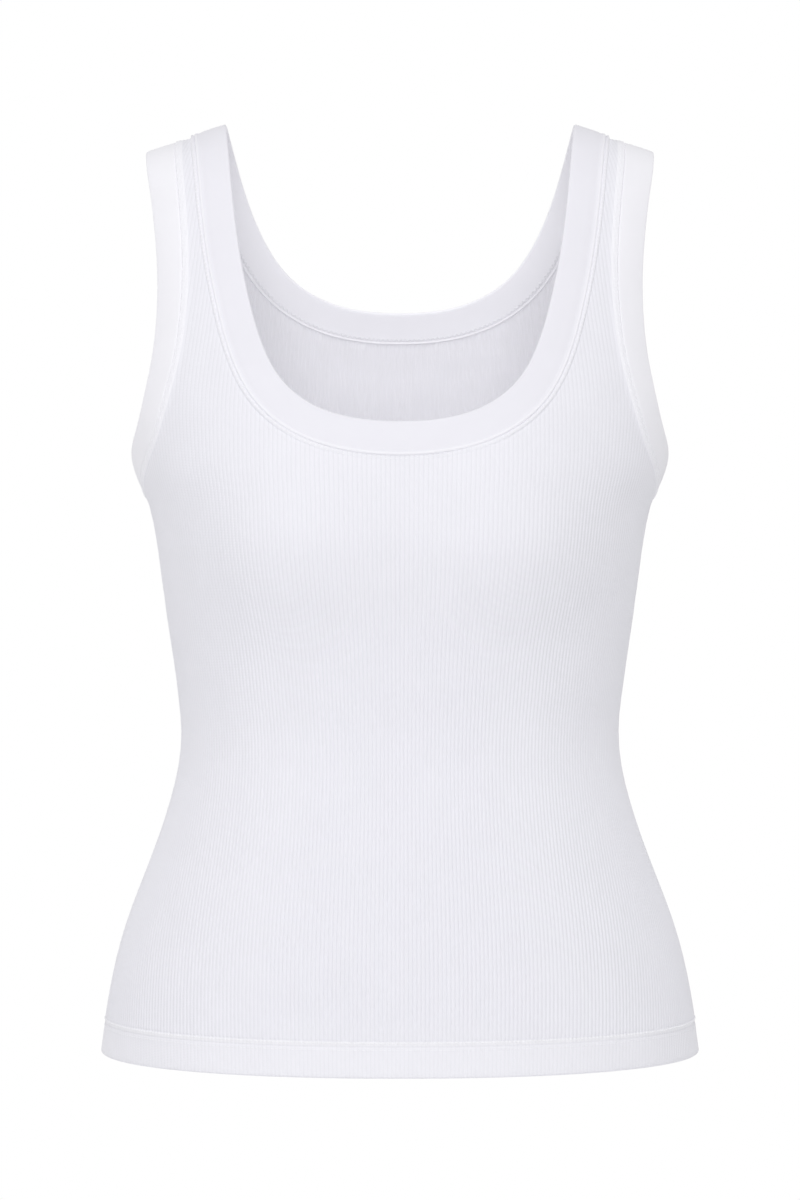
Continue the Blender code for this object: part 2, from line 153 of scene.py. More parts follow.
# What they do to the cloth: mm from the upper row, how much, and how wide. They draw in two furrows (mm),
# lift the strip between them (mm), and puff up its ribs (a share of their height).
HEM_FURROWS = ((-2.4, -0.26, 0.12), (1.0, -0.26, 0.12))
HEM_LIFTED = (-0.35, 0.22, 0.9)
HEM_PUFF = (-0.2, 0.45, 0.4)
HEM_STRIP = (18.4 * MM, 20.7 * MM)  # the strip that the upper stitches cover, above the hem's edge
TUCK, TUCK_DEPTH = 0.5 * MM, 0.5 * MM  # how far a panel's edge reaches under a band, and how deep
SEAM_SINK = 0.45 * MM  # the furrow where two panels meet
SEAM_SOFT, RIDGE_SOFT = 0.6 * MM, 0.8 * MM  # half its width, at a side seam and on the shoulders' ridge
SIDE_GAP, RIDGE_GAP = 0.05 * MM, 0.12 * MM  # how far short of the two a panel ends
# Between a panel's rows: on its body, on its straps, and the least one beside the ridge, where the distance
# left is divided by RIDGE_PARTS. The straps' rows and the ridge's begin this far from the ridge.
BODY_STEP, STRAP_STEP, RIDGE_STEP = 10.5 * MM, 6.2 * MM, 2 * MM
RIDGE_PARTS = 5
STRAP_ROWS, RIDGE_ROWS = 265 * MM, 30 * MM
SAME_PLACE = 7  # points of a panel that agree to this many decimals are one
# A panel's rows beside the hem, in mm above the edge.
HEM_ROWS = (
    *(0, 0.15, 0.45, 1.05, 3, 9, 15.8, 17, 17.4, 17.7, 18.0, 18.5, 19.1),
    *(19.5, 19.9, 20.3, 20.7, 21.0, 21.4, 22, 23, 25),
)

# A band's section in mm, at the neck band's width: how far it is from the folded edge, and how far off the
# form at the neck and at an armhole.
BAND_SECTION = (
    (0, -0.25, -0.25),
    (0.1, 0.22, 0.22),
    (0.35, 0.56, 0.56),
    (0.75, 0.79, 0.79),
    (1.3, 0.9, 0.9),
    (3, 0.96, 0.96),
    (7, 1.02, 1.02),
    (12, 1.0, 1.0),
    (15, 0.9, 0.94),
    (16.3, 0.72, 0.9),
    (17.1, 0.68, 0.88),
    (17.8, 0.82, 0.86),
    (18.4, 1.1, 0.84),
    (19.0, 1.2, 0.81),
    (19.5, 1.12, 0.76),
    (19.95, 0.85, 0.64),
    (20.15, 0.45, 0.42),
    (20.15, -0.9, -0.9),
    (20.0, -1.65, -1.65),
    (19.6, -1.95, -1.95),
    (19.1, -1.85, -1.85),
    (18.7, -1.5, -1.5),
    (18.0, -1.42, -1.42),
    (15, -1.46, -1.46),
    (8, -1.46, -1.46),
    (3, -1.43, -1.43),
    (1.3, -1.4, -1.4),
    (0.75, -1.29, -1.29),
    (0.35, -1.06, -1.06),
    (0.1, -0.72, -0.72),
)
BAND_EDGE = 0.91  # the stitched edge begins at this share of a band's width
BAND_INSIDE = -0.3 * MM  # off the form; what lies lower is a band's inside
BAND_STEP = 0.85 * MM  # between a band's rings
NECK_LIFT = 0.9 * MM  # how much higher the neck band and its seam stand on the shoulders' ridge
NECK_LIFT_SPREAD = 25 * MM
NECK_LIFT_FULL = 0.9 * MM  # off the form; what lies lower at the seam is lifted less

# The panels' edge beside a band, where the seam's turned-in cloth lies beneath it: mm from the seam, mm off
# the form at the neck and at an armhole, and what is left of the ribs' height.
SEAM_EDGE = (
    (-0.3, 0.1, 0.2, 0),
    (0.15, 0.35, 0.35, 0),
    (0.5, 0.5, 0.84, 0.1),
    (0.9, 0.8, 0.97, 0.15),
    (1.25, 0.98, 1.0, 0.2),
    (1.7, 1.03, 1.0, 0.2),
    (2.1, 0.9, 1.0, 0.25),
    (2.5, 0.56, 0.99, 0.3),
    (2.9, 0.2, 0.96, 0.35),
    (3.4, -0.02, 0.88, 0.45),
    (4.0, -0.04, 0.7, 0.7),
    (4.8, 0.0, 0.46, 0.9),
    (5.5, 0.03, 0.24, 1),
    (6.4, -0.1, 0.08, 1),
    (7.4, -0.3, 0.03, 1),
    (8.2, -0.4, -0.12, 1),
)
SEAM_EDGE_STEP = 0.6 * MM
RAISED_TO = {"neck": 2.4, "armhole": 4.5}  # mm from the seam; so far the ribs are pulled smooth
NECK_FLAT = (22 * MM, 72 * MM)  # in front it lies flat this far from the middle, and is full from here
NECK_FLAT_SHARE = 0.15  # what is left of its rise there
NECK_FLAT_FROM = 0.6 * MM  # beyond the seam, and not nearer it
# The rows of stitches beside a band: mm beyond it, and mm off the form.
SEAM_STITCHES = {
    "neck": (("near", 1.25, 0.74), ("far", 2.15, 0.66)),
    "armhole": (("near", 1.15, 0.9), ("far", 3.2, 0.86)),
}

# The side seams' turned-in cloth, inside: mm from the seam towards the back, and mm off the form.
ALLOWANCE_SECTION = (
    (0.2, -1.2),
    (0.2, -2.1),
    (0.9, -2.5),
    (3.4, -2.6),
    (5.6, -2.5),
    (6.3, -2.15),
    (6.3, -1.2),
)
ALLOWANCE_TOP = 258.5 * MM  # down the cloth from the shoulders' ridge
ALLOWANCE_TUCK = 2 * MM  # how far it reaches into the turned-up hem
ALLOWANCE_STEP = 6 * MM
OVERLOCK = (3.9 * MM, 6.2 * MM)  # the stitches' two rows, from the seam
OVERLOCK_INSET = 1 * MM  # how far short of the cloth's ends they stop
OVERLOCK_RISE, OVERLOCK_ARCH = 0.04 * MM, 0.1 * MM

THREAD = 0.19 * MM  # a thread's radius, and how far it arches off the cloth
THREAD_ARCH = 0.7  # below 1 it rises steeply at its ends and is flat between them
THREAD_END = 0.45  # its ends' radius, as a share of its own
THREAD_SIDES, THREAD_RINGS = 6, 5
STITCH_STEP = 2.6 * MM
STITCH_LENGTH = 1.9 * MM
ZIGZAG = (3.8 * MM, 1.8 * MM)  # the two rows inside a band, from its sewn edge
ZIGZAG_RISE = -1.48 * MM
ZIGZAG_ARCH, ZIGZAG_THREAD = 0.34 * MM, 0.24 * MM


def cubic(xs, ys, start=None, end=None):
    """A cubic spline through the points, with a set slope or a free one at each end."""
    xs, ys = np.asarray(xs, float), np.asarray(ys, float)
    count, step = len(xs), np.diff(xs)
    rise = np.diff(ys) / step
    matrix, right = np.zeros((count, count)), np.zeros(count)
    for i in range(1, count - 1):
        matrix[i, i - 1 : i + 2] = step[i - 1], 2 * (step[i - 1] + step[i]), step[i]
        right[i] = 6 * (rise[i] - rise[i - 1])
    matrix[0, 0] = matrix[-1, -1] = 1
    if start is not None:
        matrix[0, :2] = 2 * step[0], step[0]
        right[0] = 6 * (rise[0] - start)
    if end is not None:
        matrix[-1, -2:] = step[-1], 2 * step[-1]
        right[-1] = 6 * (end - rise[-1])
    return xs, ys, np.linalg.solve(matrix, right)


def value(curve, x):
    """A cubic spline's value at x, an array."""
    xs, ys, bend = curve
    i = np.clip(np.searchsorted(xs, x) - 1, 0, len(xs) - 2)
    step = xs[i + 1] - xs[i]
    a, b = (xs[i + 1] - x) / step, (x - xs[i]) / step
    bent = (a**3 - a) * bend[i] + (b**3 - b) * bend[i + 1]
    return a * ys[i] + b * ys[i + 1] + bent * step * step / 6


def travelled(*values):
    """The distance along a line of points, from 0 at its first."""
    return np.concatenate([[0], np.cumsum(np.sqrt(sum(np.diff(v) ** 2 for v in values)))])


def form_curves():
    """The form's sizes as splines over the distance down the cloth from the ridge."""
    height, width, front, back, square = np.array(FORM).T
    down = travelled(front, height) * MM
    return {
        "hem": down[-1],
        "height": cubic(down, height * MM, start=0),
        "half_width": cubic(down, width * MM, start=0),
        "front": cubic(down, front * MM, start=1),
        "back": cubic(down, back * MM, start=1),
        "square": cubic(down, square, start=0),
    }


CURVES = form_curves()


def superellipse(around, down):
    """Where an angle round the section falls on a unit superellipse: sideways, and forwards or back."""
    turn = np.radians(around)
    side, ahead = np.sin(turn), np.cos(turn)
    square = value(CURVES["square"], down)
    reach = (np.abs(side) ** square + np.abs(ahead) ** square) ** (1 / square)
    return side / reach, ahead / reach


def mirrored(around):
    """The angle as far round from the middle of the back as this one is from that of the front."""
    return np.where(around < 0, -180, 180) - around


def on_its_face(around, down):
    """Coordinates over the ridge, with a distance down below 0, as those on the other face."""
    return np.where(down < 0, mirrored(around), around), np.abs(down)


def point(around, down):
    """A point of the form: degrees round from the middle of the front, to the right, and the distance down
    the cloth from the ridge. A distance below 0 lies over the ridge, on the other face."""
    around, down = np.broadcast_arrays(np.asarray(around, float), np.asarray(down, float))
    around, down = on_its_face(around, down)
    side, ahead = superellipse(around, down)
    x = value(CURVES["half_width"], down) * side
    reach = np.where(ahead >= 0, value(CURVES["front"], down), value(CURVES["back"], down))
    share = np.clip(down / SHOULDER_FADE, 0, 1)
    slope = SHOULDER_SLOPE * (1 - share * share * (3 - 2 * share))
    z = value(CURVES["height"], down) - slope * (np.abs(x) - SHOULDER_X)
    off_x, off_z = (np.abs(x) - BUST_X) / BUST_SPREAD_X, (z - BUST_Z) / BUST_SPREAD_Z
    bust = BUST_DEPTH * np.exp(-(off_x**2 + off_z**2) / 2) * np.clip(ahead, 0, 1)
    return np.stack([x, -reach * ahead - bust, z], axis=-1)


def slopes(around, down):
    """How the point moves with each of its two coordinates."""
    across = (point(around + NUDGE_TURN, down) - point(around - NUDGE_TURN, down)) / (2 * NUDGE_TURN)
    along = (point(around, down + NUDGE) - point(around, down - NUDGE)) / (2 * NUDGE)
    return across, along


def unit(vectors):
    return vectors / np.linalg.norm(vectors, axis=-1, keepdims=True)


def outward(around, down):
    """The outward normal of the form."""
    across, along = slopes(around, down)
    return -unit(np.cross(across, along))


def off_form(around, down, rise):
    """Points that stand this far off the form."""
    return point(around, down) + outward(around, down) * np.asarray(rise)[..., None]


def stepped(around, down, heading, distance):
    """The coordinates of the points that lie this far away on the cloth, each in its own heading."""
    for _ in range(STEPS_ACROSS):
        across, along = slopes(around, down)
        move = heading * distance / STEPS_ACROSS
        aa, bb, ab = (across * across).sum(-1), (along * along).sum(-1), (across * along).sum(-1)
        am, bm = (across * move).sum(-1), (along * move).sum(-1)
        scale = aa * bb - ab * ab
        around = around + (am * bb - bm * ab) / scale
        down = down + (bm * aa - am * ab) / scale
    return around, down


def side_angle(side, down):
    """The angle round the front at which the cloth is this far from the middle."""
    square = value(CURVES["square"], np.abs(down))
    share = side / value(CURVES["half_width"], np.abs(down))
    ahead = (1 - np.abs(share) ** square) ** (1 / square)
    return np.degrees(np.arctan2(share, ahead))


def neck_opening():
    """The neck's edge all round, from the middle of the front to the right and back again."""
    down, side = np.array(NECK).T * MM
    way = travelled(down, side)
    at = np.linspace(0, way[-1], EDGE_SAMPLES // 2 + 1)
    down = value(cubic(way, down, start=0, end=0), at)
    around = side_angle(value(cubic(way, side, start=1, end=-1), at), down)
    return np.concatenate([around, -around[-2::-1]]), np.concatenate([down, down[-2::-1]])


def armhole_opening(mirror):
    """An armhole's edge all round, from the ridge down the front and up the back."""
    down, around = np.array(ARMHOLE).T
    down, around = np.append(down, down[-2::-1]), np.append(around, 180 - around[-2::-1])
    way = travelled(down, around * ARMHOLE_WIDE)
    at = np.linspace(0, way[-1], EDGE_SAMPLES + 1)
    around = value(cubic(way, around, start=0, end=0), at)
    down = value(cubic(way, down * MM, start=MM, end=-MM), at)
    return mirror * around, np.maximum(down, 0)


def beside(line, distance, towards):
    """A closed line moved over the cloth to its left (1) or right (-1), as seen from outside."""
    points = point(*line)
    ahead = np.gradient(points, axis=0)
    ahead[0] = ahead[-1] = points[1] - points[-2]
    heading = unit(np.cross(outward(*line), ahead)) * towards
    return stepped(*line, heading, distance)


# ---- the way round a panel
def face_angle(around, face):
    """An angle from a panel's own middle as an angle from the middle of the front."""
    return around if face == "front" else mirrored(around)


class Round:
    """How far round half a panel each angle has come, at each distance down the cloth."""

    def __init__(self, face):
        self.face = face
        self.downs = np.linspace(0, CURVES["hem"], TABLE_DOWNS)
        self.turns = np.linspace(0, 90, TABLE_TURNS)
        points = point(face_angle(self.turns, face), self.downs[:, None])
        steps = np.linalg.norm(np.diff(points, axis=1), axis=2)
        passed = np.pad(np.cumsum(steps, axis=1), ((0, 0), (1, 0)))
        self.girths = passed[:, -1]
        self.shares = passed / passed[:, -1:]
        even = np.linspace(0, 1, TABLE_TURNS)
        self.angles = np.array([np.interp(even, row, self.turns) for row in self.shares])

    def read(self, table, across, down):
        """A table's value at a share across it and a distance down the cloth."""
        i = np.clip(down / self.downs[-1], 0, 1) * (TABLE_DOWNS - 1)
        j = np.clip(across, 0, 1) * (TABLE_TURNS - 1)
        low_i = np.minimum(i.astype(int), TABLE_DOWNS - 2)
        low_j = np.minimum(j.astype(int), TABLE_TURNS - 2)
        i, j = i - low_i, j - low_j
        near = table[low_i, low_j] * (1 - j) + table[low_i, low_j + 1] * j
        far = table[low_i + 1, low_j] * (1 - j) + table[low_i + 1, low_j + 1] * j
        return near * (1 - i) + far * i

    def angle(self, share, down):
        """The angle from the middle of the front, at a share of the way to the panel's side."""
        return face_angle(np.sign(share) * self.read(self.angles, np.abs(share), down), self.face)

    def share(self, turn, down):
        """The share of the way, at an angle of 0 to 90 from the panel's middle."""
        return self.read(self.shares, turn / 90, down)

    def girth(self, down):
        return np.interp(down, self.downs, self.girths)


ROUND = {face: Round(face) for face in ("front", "back")}
ALLOWANCE_LOW = CURVES["hem"] - HEM_RISE - HEM_DEPTH + ALLOWANCE_TUCK


def ribs_to_side(above_hem):
    """How many ribs there are from a panel's middle to its side seam, this far above the hem."""
    left = np.clip(1 - above_hem / RIBS_TAPER, 0, 1)
    return RIBS_WAIST + (RIBS_HEM - RIBS_WAIST) * left**RIBS_TAPER_BEND


def bell(distance, width):
    """1 at no distance, falling smoothly to almost nothing at twice the width."""
    return np.exp(-((distance / width) ** 2))


def rib(count):
    """The rise of a rib's section, from 0 in the furrows to 1 on the crests."""
    return (0.5 - 0.5 * np.cos(2 * np.pi * count)) ** RIB_ROUND


def standing(share, above):
    """How high the ribs stand, as a share of their full height."""
    heights, *shares = np.array(RIB_STAND).T
    middle, between, side = (np.interp(above, heights * MM, part) for part in shares)
    at_middle, at_between, at_side = RIB_STAND_AT
    near = np.clip((np.abs(share) - at_middle) / (at_between - at_middle), 0, 1)
    far = np.clip((np.abs(share) - at_between) / (at_side - at_between), 0, 1)
    return middle + (between - middle) * near + (side - between) * far


def hem_down(share):
    """How far down the hem's edge is, at a share of the way to the side seam."""
    return CURVES["hem"] - HEM_RISE * share**2


# ---- meshes
def add_object(name, data):
    obj = bpy.data.objects.new(name, data)
    bpy.context.scene.collection.objects.link(obj)
    return obj


def add_mesh(name, points, faces, materials, uv=None, sharp=60, slots=None):
    """A smooth piece in its named materials, with each face's slot where there is more than one."""
    points = np.asarray(points, float)
    mesh = bpy.data.meshes.new(name)
    mesh.from_pydata(points.tolist(), [], faces)
    mesh.validate()
    if uv is not None:
        corners = np.empty(len(mesh.loops), int)
        mesh.loops.foreach_get("vertex_index", corners)
        mesh.uv_layers.new(name="knit").data.foreach_set("uv", np.asarray(uv, np.float32)[corners].ravel())
    for material in materials:
        mesh.materials.append(bpy.data.materials[material])
    if slots is not None:
        mesh.polygons.foreach_set("material_index", np.asarray(slots, np.int32))
    mesh.shade_smooth()
    if sharp:
        mesh.set_sharp_from_angle(angle=math.radians(sharp))
    return add_object(name, mesh)


def facing_out(points, corners):
    """A closed mesh's faces, given as four corners each, turned to face outwards."""
    a, b, c, d = (points[corners[:, k]] for k in range(4))
    volume = (np.cross(a, b) * c).sum() + (np.cross(a, c) * d).sum()
    return corners if volume > 0 else corners[:, ::-1]


def closed_wall(name, outer, inner, corners, slots, materials, uv):
    """A wall between two skins with the same faces, closed along their edges. The outer skin's faces have
    these slots, and the rest the last one. A quad that names a corner twice is a triangle."""
    count = len(outer)
    tails, heads = corners.ravel(), np.roll(corners, -1, axis=1).ravel()
    real = tails != heads
    tails, heads = tails[real], heads[real]
    edge = ~np.isin(tails * count + heads, heads * count + tails)
    tails, heads = tails[edge], heads[edge]
    rims = np.column_stack([heads, tails, tails + count, heads + count])
    corners = np.vstack([corners, corners[:, ::-1] + count, rims])
    points = np.vstack([outer, inner])
    faces = [tuple(dict.fromkeys(face)) for face in facing_out(points, corners).tolist()]
    slots = np.concatenate([slots, np.full(len(faces) - len(slots), len(materials) - 1)])
    return add_mesh(name, points, faces, materials, np.vstack([uv, uv]), slots=slots)


def ring_faces(rings, size, closed):
    """Quads between rings of points, the last ring joined to the first where the section is closed."""
    ring = np.arange(rings if closed else rings - 1)[:, None]
    i = np.arange(size)[None]
    a, b = ring * size, (ring + 1) % rings * size
    j = (i + 1) % size
    return np.stack([a + i, a + j, b + j, b + i], axis=-1).reshape(-1, 4)


# ---- panels
def half_seams(face):
    """A panel's neck seam, from the middle to the ridge, and its armhole seam, from the side to the ridge,
    as shares of the way to the side and distances down."""
    neck = np.array(beside(neck_opening(), NECK_BAND - TUCK, -1))[:, : EDGE_SAMPLES // 2 + 1]
    arm = np.array(beside(armhole_opening(1), ARM_BAND - TUCK, -1))
    if face == "back":
        neck = neck[:, ::-1] * [[1], [-1]]
        arm = arm[:, ::-1]
        arm[0] = 180 - arm[0]
    seams = neck[:, neck[1] >= 0], arm[:, (arm[0] <= 90) & (arm[1] >= 0)][:, ::-1]
    return [(ROUND[face].share(around, down), down) for around, down in seams]


def at_seam(face, share, down):
    """Moves the points in a band's place to its seam, along their ribs. Gives the distances down, and which
    points are clear of the bands."""
    share = np.abs(share)
    (neck_share, neck_down), (arm_share, arm_down) = half_seams(face)
    order = np.argsort(neck_down)
    in_neck = (down < neck_down.max()) & (share < np.interp(down, neck_down[order], neck_share[order]))
    order = np.argsort(arm_down)
    in_arm = (down < arm_down.max()) & (share > np.interp(down, arm_down[order], arm_share[order]))
    order = np.argsort(neck_share)
    placed = np.where(in_neck, np.interp(share, neck_share[order], neck_down[order]), down)
    narrow = np.argmin(arm_share)
    low_share, low_down = arm_share[: narrow + 1][::-1], arm_down[: narrow + 1][::-1]
    top_share, top_down = arm_share[narrow:], arm_down[narrow:]
    low, top = np.interp(share, low_share, low_down), np.interp(share, top_share, top_down)
    placed = np.where(in_arm, np.where(down < arm_down[narrow], top, low), placed)
    return placed, ~(in_neck | in_arm)


def row_heights():
    """The rows' distances above the hem's edge."""
    top = CURVES["hem"] - RIDGE_GAP
    rows = list(np.array(HEM_ROWS) * MM)
    while rows[-1] < top - RIDGE_STEP:
        left = top - rows[-1]
        if left > STRAP_ROWS:
            step = BODY_STEP
        elif left > RIDGE_ROWS:
            step = STRAP_STEP
        else:
            step = max(RIDGE_STEP, left / RIDGE_PARTS)
        rows.append(rows[-1] + step)
    rows[-1] = top
    return np.array(rows)


def hem_wall(above):
    """How far the outer and the inner face stand off the form, this far above the hem's edge."""
    half = (CLOTH + HEM_TURN) / 2
    fold = half * (1 - np.sqrt(1 - np.clip(1 - above / half, 0, HEM_FOLD) ** 2))
    ended = np.clip((above - HEM_DEPTH - HEM_TURN_FROM) / HEM_TURN_SOFT, 0, 1)
    outer = -fold
    inner = -(CLOTH + HEM_TURN * (1 - ended)) + fold
    return outer, inner


def stitch_furrows(above):
    """What the hem's stitches do, this far above its edge: how far they lift the cloth or draw it in, and
    the share by which they puff up its ribs."""
    off = above / MM - UPPER_ROW
    lift = sum(depth * MM * np.exp(-((off - at) ** 2) / width) for at, depth, width in HEM_FURROWS)
    at, height, width = HEM_LIFTED
    lift = lift + height * MM * np.exp(-((off - at) ** 4) / width)
    at, share, width = HEM_PUFF
    return lift, share * np.exp(-((off - at) ** 2) / width)


def cells(grid):
    """The four corners of each cell of a grid."""
    return np.stack([grid[:-1, :-1], grid[:-1, 1:], grid[1:, 1:], grid[1:, :-1]], axis=-1)


def panel_grid(face):
    """A panel's faces, as four corners each, and its points: their shares of the way to the side seam,
    distances down, places among the ribs, and whether they are clear of the bands."""
    side = RIBS_HEM * COLUMNS_PER_RIB
    above = np.repeat(row_heights()[:, None], 2 * side + 1, axis=1)
    count = np.arange(-side, side + 1)[None] / COLUMNS_PER_RIB
    ribs = ribs_to_side(above)
    limit = 1 - SIDE_GAP / ROUND[face].girth(CURVES["hem"] - above)
    share = np.clip(count / ribs, -limit, limit)
    down = hem_down(share) - above * (hem_down(share) - RIDGE_GAP) / (CURVES["hem"] - RIDGE_GAP)
    down, clear = at_seam(face, share, down)

    # Points in the same place become one, and faces that shrink to a line are left out.
    keys = np.round(np.column_stack([share.ravel(), down.ravel()]), SAME_PLACE)
    _, first, places = np.unique(keys, axis=0, return_index=True, return_inverse=True)
    corners = cells(places.reshape(share.shape))[cells(clear).any(axis=-1)]
    corners = corners[(corners[:, 0] != corners[:, 2]) & (corners[:, 1] != corners[:, 3])]
    same = (corners == np.roll(corners, -1, axis=1)).sum(axis=1)
    used, corners = np.unique(corners[same < 2], return_inverse=True)
    first = first[used]
    return corners.reshape(-1, 4), *(a.ravel()[first] for a in (share, down, share * ribs, clear))


def panel_rises(face, share, down, count, clear):
    """How far a panel's outer and inner skin stand off the form."""
    at_side = bell((1 - np.abs(share)) * ROUND[face].girth(down), SEAM_SOFT)
    at_ridge = bell(down, RIDGE_SOFT)
    above_hem = hem_down(share) - down
    outer, inner = hem_wall(above_hem)
    lift, puff = stitch_furrows(above_hem)
    in_hem = above_hem < (UPPER_ROW + HEM_RIBS_END) * MM
    ribbing = np.where(in_hem, HEM_RIBS, 1) * (1 - at_side) * (1 - at_ridge)
    high = RIB_HEIGHT * standing(share, CURVES["hem"] - down) * rib(count)
    outer = outer + lift + high * (ribbing + puff) - SEAM_SINK * (at_side + at_ridge)
    outer = np.where(clear, outer, -TUCK_DEPTH)
    inner = inner - LINING_RIB * rib(count + 0.5) * ribbing * clear
    folds = soft_folds(face, point(ROUND[face].angle(share, down), down))
    return outer + folds, inner + folds


def panel(name, face):
    """A ribbed panel with its hem turned up inside."""
    corners, share, down, count, clear = panel_grid(face)
    around = ROUND[face].angle(share, down)
    outer, inner = (off_form(around, down, rise) for rise in panel_rises(face, share, down, count, clear))
    over_hem = (hem_down(share) - down)[corners].mean(axis=1)
    # The hem and its stitched strip get copies of the ribs' cotton painted lighter, the strip most: painted
    # highlight.
    slots = np.select([over_hem > HEM_STRIP[1], over_hem > HEM_STRIP[0]], [0, 2], 1)
    uv = np.column_stack([count, down / MM])
    return closed_wall(name, outer, inner, corners, slots, PANEL_KNITS, uv)


# Soft folds in the worn cloth, in mm: a line from one point to another as seen from the front (x0, z0, x1,
# z1), how wide it is, and how far it lifts (or sinks) the cloth.
FOLD_ENDS = 0.6  # below 1 a fold fades more slowly beyond its ends than across
FOLDS = {
    "front": (
        (-132, -205, -92, -232, 9, 0.5),
        (132, -205, 92, -232, 9, 0.5),
        (-135, -262, -98, -292, 13, -0.9),
        (135, -262, 98, -292, 13, -0.9),
        (-124, -330, -60, -362, 12, -0.5),
        (124, -338, 62, -352, 12, -0.5),
    ),
    "back": (
        (-120, -315, -40, -352, 14, -1.0),
        (120, -322, 44, -350, 14, -1.0),
        (-112, -372, -36, -392, 13, 0.7),
        (112, -368, 40, -396, 13, 0.7),
        (-128, -222, -86, -250, 11, -0.7),
        (128, -222, 86, -250, 11, -0.7),
    ),
}


def soft_folds(face, points):
    """How far the folds lift the cloth at each point."""
    lift = np.zeros(len(points))
    for x0, z0, x1, z1, width, height in np.array(FOLDS[face]) * MM:
        ahead = np.array([x1 - x0, z1 - z0])
        length = np.linalg.norm(ahead)
        ahead /= length
        off = points[:, [0, 2]] - [x0, z0]
        along, across = off @ ahead, off @ [-ahead[1], ahead[0]]
        beyond = np.maximum(0, np.maximum(-along, along - length))
        lift += height * np.exp(-(across**2 + (FOLD_ENDS * beyond) ** 2) / (2 * width**2))
    return lift


# ---- bands and their seams
def evenly(line, distance, towards, step):
    """A line beside an opening, with points about this far apart and the same marks at any distance."""
    length = travelled(*point(*line).T)
    size = int(round(length[-1] / step))
    marks = np.interp(np.arange(size) / size * length[-1], length, np.arange(len(length)))
    moved = beside(line, distance, towards)
    return tuple(np.interp(marks, np.arange(len(length)), part) for part in moved)


def ridge_lift(line, lift):
    """What is added to the rise of a line's points near the shoulders' ridge."""
    return lift * bell(line[1], NECK_LIFT_SPREAD)


def band(name, opening, band_width, towards, kind, lift):
    """A folded band round an opening."""
    across, at_neck, at_armhole = np.array(BAND_SECTION).T * MM
    across = across * band_width / NECK_BAND
    rise = at_neck if kind == "neck" else at_armhole
    lines = [evenly(opening, distance, towards, BAND_STEP) for distance in across]
    points = np.concatenate([off_form(*line, r + ridge_lift(line, lift)) for line, r in zip(lines, rise)])
    size = len(lines[0][0])
    corners = facing_out(points, ring_faces(len(lines), size, closed=True))
    run = np.tile(np.arange(size) * BAND_STEP / MM, len(lines))
    uv = np.column_stack([run, np.repeat(across / MM, size)])
    # The neck band's stitched edge is painted lighter, a painted highlight, and the inside is painted
    # lighter, painted light.
    edge = (across > BAND_EDGE * band_width) & (rise > 0)
    slots = np.select([rise < BAND_INSIDE, edge], [2, 1], 0)
    return add_mesh(name, points, corners.tolist(), BAND_KNITS[kind], uv, slots=np.repeat(slots, size))


def rib_count(around, down):
    """Where each point of either panel lies among its ribs, counted from the panel's middle, how far it is
    from the side seam and the shoulders' ridge, and how high the ribs stand there."""
    around, down = on_its_face(around, down)
    turn = np.abs(around)
    above = CURVES["hem"] - down
    share = np.zeros(turn.shape)
    for face, on in (("front", turn <= 90), ("back", turn > 90)):
        from_middle = np.where(on, turn if face == "front" else 180 - turn, 0)
        share = np.where(on, ROUND[face].share(from_middle, down), share)
    count = share * ribs_to_side(above)
    return count, (RIBS_WAIST - count) * RIB_PITCH, down, RIB_HEIGHT * standing(share, above)


def fullness(line, kind):
    """The share by which the seam's turned-in cloth raises a line: it lies flat low at the neck's front."""
    if kind != "neck":
        return np.ones(len(line[0]))
    points = point(*line)
    lowest, full = NECK_FLAT
    share = np.clip((np.abs(points[:, 0]) - lowest) / (full - lowest), 0, 1)
    return np.where(points[:, 1] < 0, NECK_FLAT_SHARE + (1 - NECK_FLAT_SHARE) * share, 1)


def seam_edge(name, opening, band_width, towards, kind, lift):
    """The panels' edge beside a band, all round, raised by the seam's turned-in cloth."""
    across, at_neck, at_armhole, ribs = np.array(SEAM_EDGE).T
    rise = at_neck if kind == "neck" else at_armhole
    points, uv = [], []
    for distance, height, share in zip(across * MM, rise * MM, ribs):
        line = evenly(opening, band_width + distance, towards, SEAM_EDGE_STEP)
        count, to_side, to_ridge, rib_height = rib_count(*line)
        at_seams = bell(to_side, SEAM_SOFT) + bell(to_ridge, RIDGE_SOFT)
        height = height + ridge_lift(line, lift) * np.clip(height / NECK_LIFT_FULL, 0, 1)
        full = fullness(line, kind)
        if distance >= NECK_FLAT_FROM:
            height = height * full
            share = 1 - (1 - share) * full
        ribbing = rib_height * rib(count) * share * (1 - at_seams)
        points.append(off_form(*line, height + ribbing - SEAM_SINK * at_seams))
        uv.append(np.column_stack([count, to_ridge / MM]))
    corners = ring_faces(len(points), len(points[0]), closed=False)
    if towards < 0:
        corners = corners[:, ::-1]
    # The raised strip beside the seam gets a copy of the cotton painted lighter: a painted highlight on its
    # ridge.
    raised = across[:-1, None] < RAISED_TO[kind]
    slots = (raised & (full > 0.5)).ravel()
    points, uv = np.concatenate(points), np.concatenate(uv)
    return add_mesh(name, points, corners.tolist(), ["rib_knit", f"{kind}_seam_knit"], uv, slots=slots)


